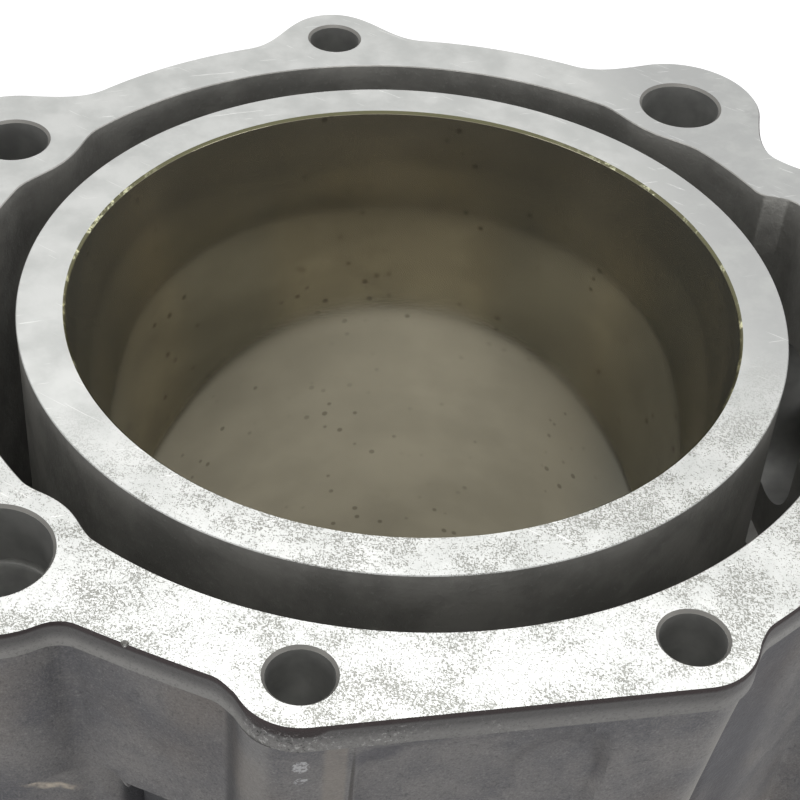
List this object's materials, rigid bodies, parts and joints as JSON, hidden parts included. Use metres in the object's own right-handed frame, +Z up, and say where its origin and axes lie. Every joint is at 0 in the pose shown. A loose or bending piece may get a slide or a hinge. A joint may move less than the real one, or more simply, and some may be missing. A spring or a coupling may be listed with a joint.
{
  "type": "engine cylinder",
  "caption": "Liquid-cooled engine cylinder casting with an open deck, a plated bore inside a deep water jacket, stud bosses and a spigot below the base face.",
  "frame": {"origin": "on the bore axis, in the base gasket face", "axes": "+Z up the bore to the deck, +X to the coolant port, -Y to the front block with two small bolts"},
  "size_m": [0.1591, 0.1554, 0.118],
  "materials": {
    "cast_aluminium": "as cast outside, machined on the deck and faces, satin plating in the bore"
  },
  "bodies": {
    "root": {"engine_cylinder": "cast_aluminium"}
  },
  "joints": []
}
